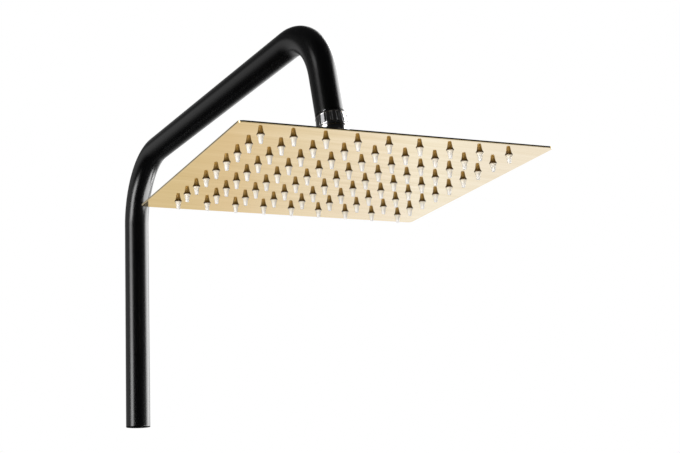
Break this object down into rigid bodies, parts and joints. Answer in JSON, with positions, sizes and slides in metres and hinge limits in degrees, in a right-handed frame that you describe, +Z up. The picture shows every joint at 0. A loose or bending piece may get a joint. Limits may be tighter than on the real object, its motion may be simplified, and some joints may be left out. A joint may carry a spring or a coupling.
{
  "type": "rain shower set",
  "caption": "Overhead rain shower: bent black riser-and-arm pipe, faceted swivel nut with a ball joint, and a thin square gold head with soft nozzles.",
  "frame": {"origin": "centre of the riser pipe's open lower end, on the riser's axis", "axes": "+Z up along the riser, +X along the arm from the riser towards the head, +Y to the arm's left seen from the riser"},
  "size_m": [0.6083, 0.2682, 0.3009],
  "materials": {
    "satin_black": "satin powder coat over the pipe and the bush brazed in its end",
    "gloss_black": "gloss electroplated black over brass",
    "gold": "mirror-polished stainless steel with a pale gold coating",
    "stainless": "plain mill finish",
    "black_rubber": "matt moulded rubber",
    "white_plastic": "moulded acetal",
    "silicone": "translucent white silicone"
  },
  "bodies": {
    "arm": {"riser_arm_pipe": "satin_black", "riser_end_bush": "satin_black", "riser_end_washer": "black_rubber", "arm_end_nipple": "gloss_black", "swivel_nut": "gloss_black", "filter_washer": "black_rubber", "filter_screen": "stainless", "flow_regulator": "white_plastic", "regulator_oring": "black_rubber", "cup_backing_ring": "white_plastic", "ball_cup_seal": "black_rubber"},
    "seat": {"ball_seat_ring": "white_plastic"},
    "ball": {"ball_stem": "gloss_black"},
    "head": {"inlet_washer": "black_rubber", "inlet_boss": "gold", "top_plate": "gold", "inlet_baffle": "stainless", "plate_stays": "stainless", "face_plate": "gold", "nozzles": "silicone"}
  },
  "joints": [
    {"name": "swivel_turn", "type": "hinge", "parent": "arm", "child": "seat", "pos_m": [0.46172, 0, 0.18019], "axis": [-0.2419, 0, 0.9703], "continuous": true},
    {"name": "swivel_tilt", "type": "hinge", "parent": "seat", "child": "ball", "pos_m": [0.46172, 0, 0.18019], "axis": [0, 1, 0], "range_deg": [-34, 6]},
    {"name": "head_spin", "type": "hinge", "parent": "ball", "child": "head", "pos_m": [0.46172, 0, 0.18019], "axis": [0, 0, 1], "continuous": true}
  ]
}
